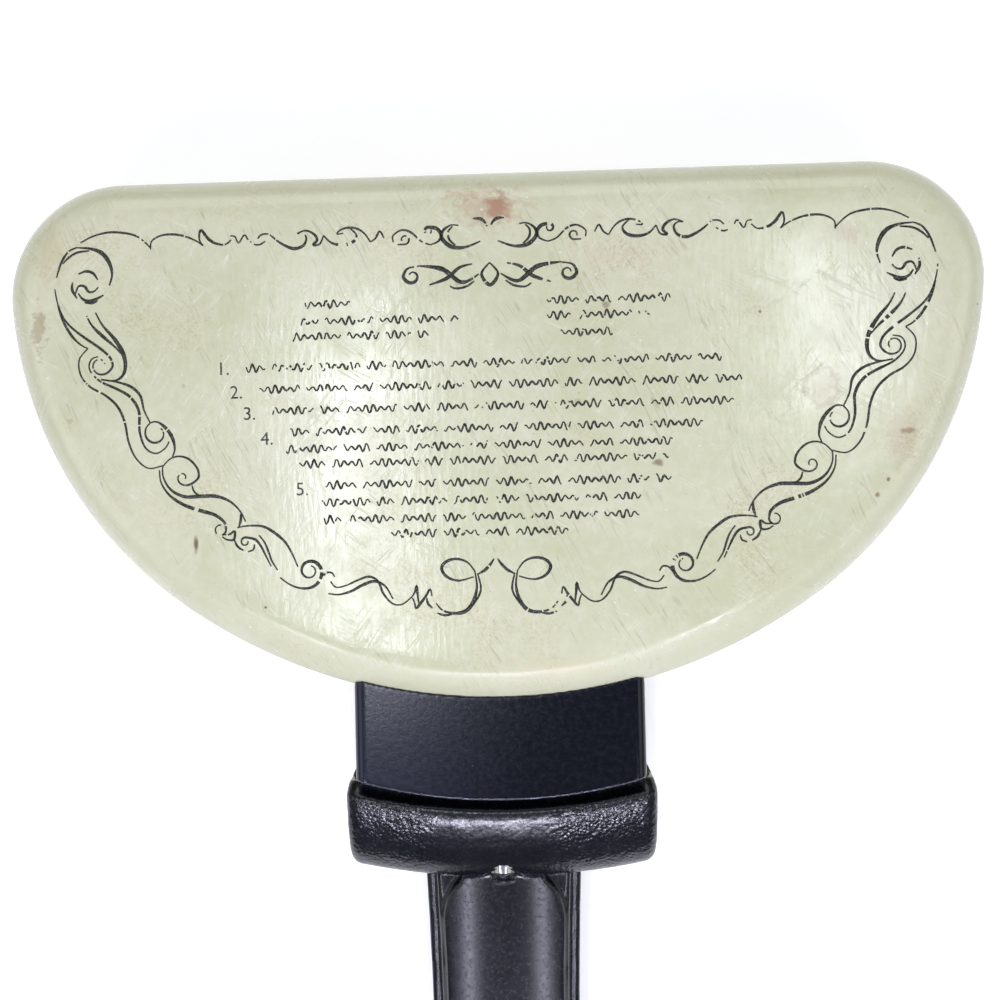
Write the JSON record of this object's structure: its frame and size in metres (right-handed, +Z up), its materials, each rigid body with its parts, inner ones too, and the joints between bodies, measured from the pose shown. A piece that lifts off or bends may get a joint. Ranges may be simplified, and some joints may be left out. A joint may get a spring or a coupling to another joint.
{
  "type": "folding omelette pan",
  "caption": "Half-moon folding omelette pan: two enamelled shells hinged on their straight side, each with a black moulded handle under a hood bracket.",
  "frame": {"origin": "middle of the lower pan's flat bottom, halfway between the straight side and the front of the rim", "axes": "+Z up with the pan closed and lying on its lower half, +Y towards the hinges, handles towards -Y, X along the hinge line"},
  "size_m": [0.233, 0.2838, 0.0604],
  "materials": {
    "enamelled_aluminium": "pale avocado-green enamel, worn and lightly stained, dark non-stick coat inside",
    "black_phenolic": "black moulded phenolic, smooth grip, heat-roughened roll",
    "black_bracket": "satin black enamel on bent sheet steel",
    "hinge_steel": "plain plated steel",
    "rivet_aluminium": "satin",
    "plated_steel": "bright plated"
  },
  "bodies": {
    "lower_half": {"lower_pan": "enamelled_aluminium", "lower_handle_bracket": "black_bracket", "lower_bracket_rivets": "rivet_aluminium", "lower_bracket_boss": "hinge_steel", "lower_handle": "black_phenolic", "lower_handle_screw": "plated_steel", "lower_screw_washer": "plated_steel", "lower_hinge_leaf_left": "hinge_steel", "lower_hinge_leaf_right": "hinge_steel", "lower_hinge_rivets_left": "rivet_aluminium", "lower_hinge_rivets_right": "rivet_aluminium", "hinge_pin_left": "hinge_steel", "hinge_pin_right": "hinge_steel"},
    "upper_half": {"upper_pan": "enamelled_aluminium", "upper_handle_bracket": "black_bracket", "upper_bracket_rivets": "rivet_aluminium", "upper_bracket_boss": "hinge_steel", "upper_handle": "black_phenolic", "upper_handle_screw": "plated_steel", "upper_screw_washer": "plated_steel", "upper_hinge_leaf_left": "hinge_steel", "upper_hinge_leaf_right": "hinge_steel", "upper_hinge_rivets_left": "rivet_aluminium", "upper_hinge_rivets_right": "rivet_aluminium"}
  },
  "joints": [
    {"name": "fold", "type": "hinge", "parent": "lower_half", "child": "upper_half", "pos_m": [0, 0.06605, 0.0302], "axis": [-1, 0, 0], "range_deg": [0, 180]}
  ]
}
